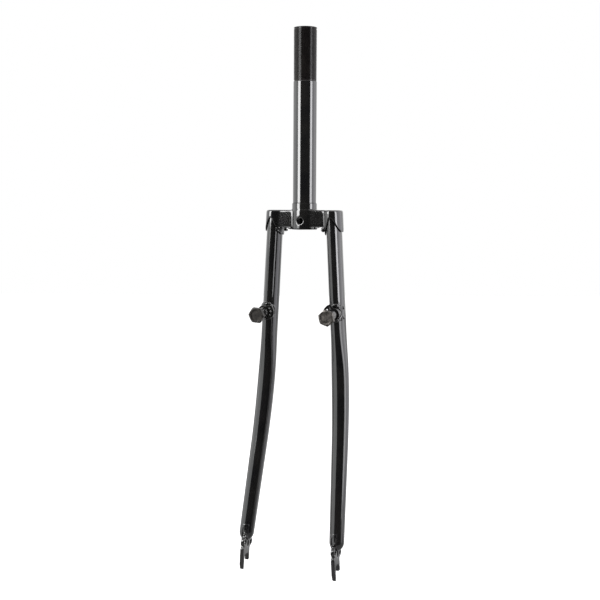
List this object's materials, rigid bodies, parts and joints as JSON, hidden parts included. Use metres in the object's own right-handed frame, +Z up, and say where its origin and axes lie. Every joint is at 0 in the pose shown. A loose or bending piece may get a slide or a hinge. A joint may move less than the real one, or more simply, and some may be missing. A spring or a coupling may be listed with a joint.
{
  "type": "bicycle fork",
  "caption": "Rigid bicycle fork with a threaded steerer, flat lugged crown, raked oval blades, forged dropouts with eyelets and brake bosses.",
  "frame": {"origin": "on the steerer axis at the flat top of the crown, where the race seat starts", "axes": "+Z up along the steerer, the front of the fork faces -Y, the rider's left is +X"},
  "size_m": [0.1212, 0.0625, 0.588],
  "materials": {
    "gloss_paint": "high gloss black enamel",
    "steerer_paint": "high gloss black enamel, thin on the threaded end",
    "bolt_steel": "dull dark oxide"
  },
  "bodies": {
    "root": {"steerer_tube": "steerer_paint", "fork_crown": "gloss_paint", "left_blade": "gloss_paint", "right_blade": "gloss_paint", "left_dropout": "gloss_paint", "right_dropout": "gloss_paint", "left_dropout_weld": "gloss_paint", "right_dropout_weld": "gloss_paint", "left_brake_boss": "gloss_paint", "right_brake_boss": "gloss_paint", "left_spring_plate": "gloss_paint", "right_spring_plate": "gloss_paint", "left_boss_bolt": "bolt_steel", "right_boss_bolt": "bolt_steel", "left_boss_weld": "gloss_paint", "right_boss_weld": "gloss_paint"}
  },
  "joints": []
}
